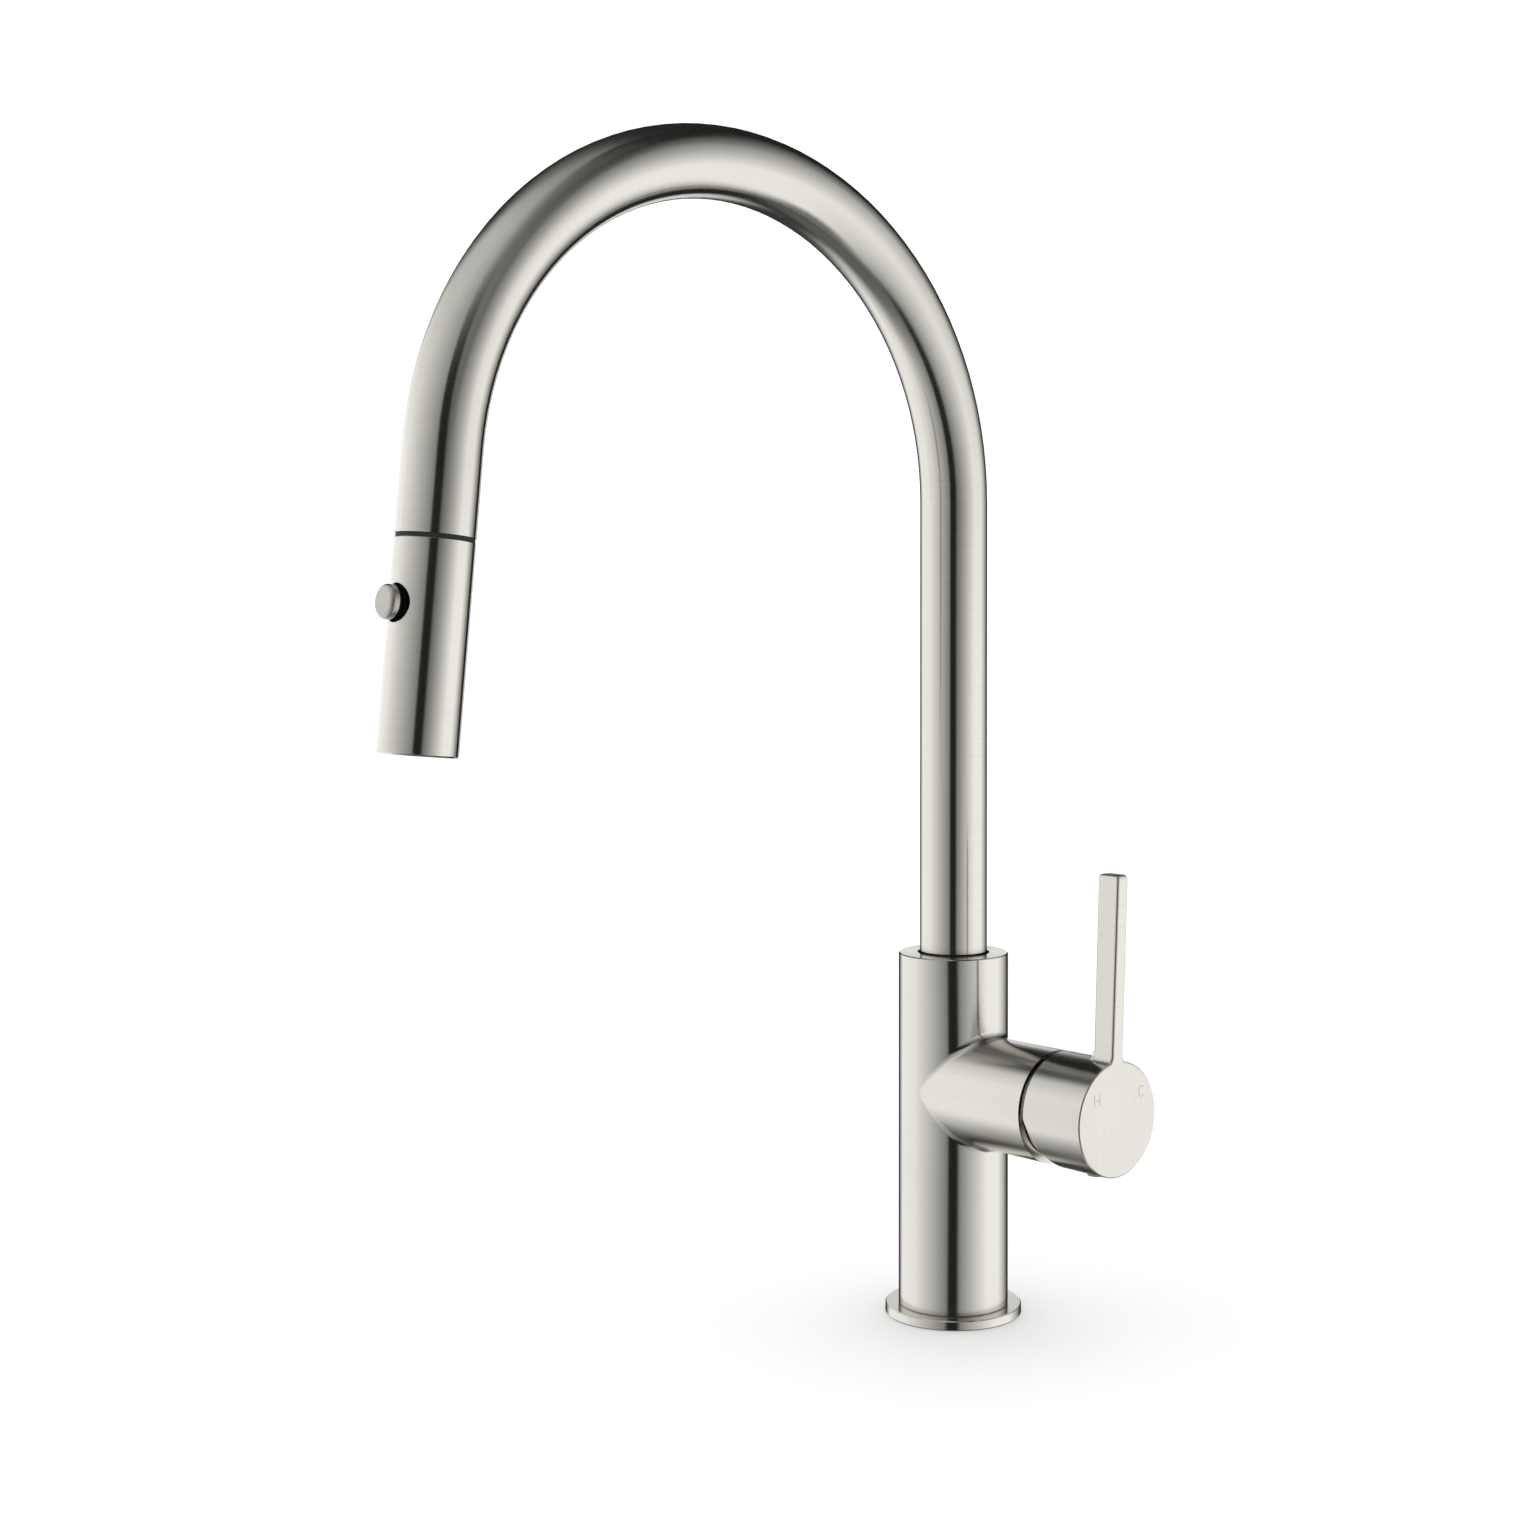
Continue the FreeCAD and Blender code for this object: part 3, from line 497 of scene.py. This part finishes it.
def hose():
    """The braided hose between spout and head."""
    work = bmesh.new()
    weave = []
    rings = []
    for row in range(HOSE_RINGS + 1):
        share = row / HOSE_RINGS
        # The yarn is laid for the pulled-out hose, spread along it by a smooth share of the pull.
        laid = HOSE_REST * share + HOSE_PULL * share * share * (3 - 2 * share)
        centre = HOSE_START + OUTLET_DOWN * HOSE_REST * share
        ring = []
        for side in range(HOSE_SIDES):
            turn = 2 * math.pi * side / HOSE_SIDES
            spoke = ACROSS * math.cos(turn) + HOSE_OUT * math.sin(turn)
            ring.append(work.verts.new(centre + spoke * HOSE_RADIUS))
            weave.append((math.cos(turn), math.sin(turn), laid))
        rings.append(ring)
    for low, high in zip(rings, rings[1:]):
        join_loops(work, low, high, smooth=True)
    for ring in (rings[0], rings[-1]):
        work.faces.new(ring)
    piece = new_piece("hose_braided", work, WEAVE, None)
    laid_out = piece.data.attributes.new("weave", "FLOAT_VECTOR", "POINT")
    for index, place in enumerate(weave):
        laid_out.data[index].vector = place
    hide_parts("hose_end_run")
    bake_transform(piece)


def spring():
    """The button's spring, squeezed between the spray head and the button."""
    node = NODES["button_spring"]
    work = bmesh.new()
    work.from_mesh(node.data)
    work.transform(node.matrix_world)
    # The coil is near-black as painted shade in the button's recess.
    piece = new_piece("spring_coil", work, BLACK_AND_PAINTED_SHADE, None)
    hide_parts("button_spring")
    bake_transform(piece)


# How far the ring reaches past the tube's radius, and above the column's top.
RING_REACH = (-0.3 * MM, 0.12 * MM)
RING_HEIGHT = (0.03 * MM, 0.65 * MM)
RING_SIDES = 128


def foot_ring():
    """The thin black line round the riser's foot, just above the column's top."""
    column_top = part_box("body_shell")[1][2]
    turns = [2 * math.pi * side / RING_SIDES for side in range(RING_SIDES)]
    work = bmesh.new()
    loops = []
    for reach, height in ((0, 0), (1, 0), (1, 1), (0, 1)):
        radius = TUBE_RADIUS + RING_REACH[reach]
        z = column_top + RING_HEIGHT[height]
        loops.append([work.verts.new((radius * math.cos(turn), radius * math.sin(turn), z))
                      for turn in turns])
    for index, loop in enumerate(loops):
        join_loops(work, loop, loops[(index + 1) % len(loops)])
    new_piece("riser_foot_ring", work, BLACK_AND_PAINTED_SHADE, "spout")


marks()
hose()
spring()
foot_ring()


# ---- studio ----

def floor():
    bpy.ops.mesh.primitive_plane_add(size=14, location=(0, 0, 0))
    plane = bpy.context.object
    plane.name = "floor"
    g = Graph("pale_floor")
    g.set(color=g.tint(g.noise(g.coords(), 3.0), (0.90, 0.90, 0.90), (0.93, 0.93, 0.93)),
          metal=0.0, rough=0.6, specular=0.2)
    plane.data.materials.append(g.material)
    plane.visible_glossy = False


CAMERA_PLACE = Vector((0.6182, -0.6233, 0.2719))
CAMERA_YAW = math.radians(47.70)
CAMERA_PITCH = math.radians(-0.79)


def camera():
    data = bpy.data.cameras.new("camera")
    data.lens = 54.49
    data.sensor_width = 36
    data.shift_x = -0.0473
    data.shift_y = -0.0846
    data.clip_start = 0.01
    data.clip_end = 50
    item = bpy.data.objects.new("camera", data)
    bpy.context.scene.collection.objects.link(item)
    item.location = CAMERA_PLACE
    item.rotation_euler = (math.pi / 2 + CAMERA_PITCH, 0, CAMERA_YAW)
    bpy.context.scene.camera = item


# The studio is a dome of softboxes that only reflections see. Angles are in degrees: azimuth
# from the camera's side, anticlockwise seen from above, and elevation from the dome's centre.
# Each softbox is (azimuth band, elevation band, level); a band is fade-in, full, full, fade-out.
DOME_RADIUS = 0.95
DOME_CENTRE = Vector((0, 0, 0.2))
LEFT_SOFTBOX = ((-154, -133, -90, 8), (-62, -36, 15, 85), 1.28)
RIGHT_SOFTBOX = ((-8, 75, 108, 152), (-66, -52, 5, 70), 1.35)
TOP_SOFTBOX = ((-150, -90, -15, 15), (42, 60, 100, 110), 0.25)
BACK_PANEL = ((170, 176, 190, 200), (-40, -20, 10, 22), 0.95)
CAMERA_GAP = ((-14, -10, 6, 12), (-80, -70, 30, 50), 1.0)
DOME_GLOW = 0.02
FLOOR_GLOW = 0.16
FLOOR_GLOW_EDGE = (-62, -50)
# The right softbox leans: its upper edge drops by this share of the angle towards the camera.
RIGHT_LEAN = 0.35
RIGHT_LEAN_LIMIT = 25.0
# Above its full band the left softbox shifts towards the camera by this share of the height.
LEFT_LEAN = 1.2
CAMERA_AZIMUTH = math.degrees(math.atan2(CAMERA_PLACE.x, -CAMERA_PLACE.y))


def step(g, value, between, start, end):
    """Go from start to end while the value crosses the given band."""
    return g.node("ShaderNodeMapRange", {
        "Value": value, "From Min": float(between[0]), "From Max": float(between[1]),
        "To Min": start, "To Max": end}).outputs[0]


def band(g, value, stops):
    """One inside the middle two stops, fading to nothing at the outer two."""
    return g.math("MULTIPLY", step(g, value, stops[:2], 0.0, 1.0),
                  step(g, value, stops[2:], 1.0, 0.0))


def softbox(g, azimuth, elevation, box):
    """The light of one softbox in a direction."""
    shape = g.math("MULTIPLY", band(g, azimuth, box[0]), band(g, elevation, box[1]))
    return g.math("MULTIPLY", shape, box[2])


def studio_dome():
    """A glowing dome round the object and the camera, with a dark gap where the camera stands."""
    mesh = bpy.data.meshes.new("studio_dome")
    work = bmesh.new()
    bmesh.ops.create_uvsphere(work, u_segments=64, v_segments=32, radius=DOME_RADIUS)
    work.to_mesh(mesh)
    work.free()
    dome = bpy.data.objects.new("studio_dome", mesh)
    bpy.context.scene.collection.objects.link(dome)
    dome.location = DOME_CENTRE
    g = Graph("softboxes")
    x, y, z = g.split(g.vector_math("NORMALIZE", g.coords()))
    turn = g.math("ARCTAN2", x, g.math("MULTIPLY", y, -1.0))
    from_camera = g.math("MULTIPLY", g.math("SUBTRACT", turn, math.radians(CAMERA_AZIMUTH)),
                         180 / math.pi)
    azimuth = g.math("WRAP", from_camera, 180.0, -180.0)
    elevation = g.math("MULTIPLY", g.math("ARCSINE", z), 180 / math.pi)
    lean = g.math("MULTIPLY", g.math("SUBTRACT", RIGHT_SOFTBOX[0][1], azimuth), RIGHT_LEAN)
    lifted = g.math("ADD", elevation, g.math("MAXIMUM", lean, -RIGHT_LEAN_LIMIT))
    right = softbox(g, azimuth, g.math("MAXIMUM", lifted, elevation), RIGHT_SOFTBOX)
    above = g.math("MAXIMUM", g.math("SUBTRACT", elevation, float(LEFT_SOFTBOX[1][2])), 0.0)
    shifted = g.math("SUBTRACT", azimuth, g.math("MULTIPLY", above, LEFT_LEAN))
    boxes = g.math("ADD", softbox(g, shifted, elevation, LEFT_SOFTBOX), right)
    gap = g.math("SUBTRACT", 1.0, softbox(g, azimuth, elevation, CAMERA_GAP))
    back = softbox(g, g.math("ABSOLUTE", azimuth), elevation, BACK_PANEL)
    top = softbox(g, azimuth, elevation, TOP_SOFTBOX)
    glow = g.math("ADD", g.math("MULTIPLY", boxes, gap), g.math("ADD", back, top))
    below = step(g, elevation, FLOOR_GLOW_EDGE, FLOOR_GLOW, DOME_GLOW)
    g.put(g.shader.inputs["Emission Strength"], g.math("ADD", glow, below))
    g.put(g.shader.inputs["Emission Color"], (1, 1, 1, 1))
    g.set(color=(0.0, 0.0, 0.0), specular=0.0, rough=1.0)
    g.material.cycles.emission_sampling = "NONE"
    mesh.materials.append(g.material)
    dome.visible_camera = False
    dome.visible_diffuse = False
    dome.visible_shadow = False


def world():
    """Plain white all round: the backdrop, and the soft light on floor and plastics."""
    studio = bpy.data.worlds.new("studio")
    studio.use_nodes = True
    ground = studio.node_tree.nodes["Background"]
    ground.inputs["Color"].default_value = (1, 1, 1, 1)
    ground.inputs["Strength"].default_value = 1.17
    bpy.context.scene.world = studio


def direction(azimuth, elevation):
    """Unit vector towards a place round the object; azimuth 0 is -Y, 90 is +X."""
    a = math.radians(azimuth)
    e = math.radians(elevation)
    return Vector((math.sin(a) * math.cos(e), -math.cos(a) * math.cos(e), math.sin(e)))


def lights():
    """A faint broad lamp from above, which the metal doesn't mirror."""
    data = bpy.data.lights.new("overhead", "SUN")
    data.energy = 0.25
    data.angle = math.radians(60)
    lamp = bpy.data.objects.new("overhead", data)
    bpy.context.scene.collection.objects.link(lamp)
    lamp.rotation_euler = (-direction(150, 65)).to_track_quat("-Z", "Y").to_euler()
    lamp.visible_glossy = False


floor()
lights()
camera()
world()
studio_dome()
bpy.context.scene.view_settings.view_transform = "Standard"
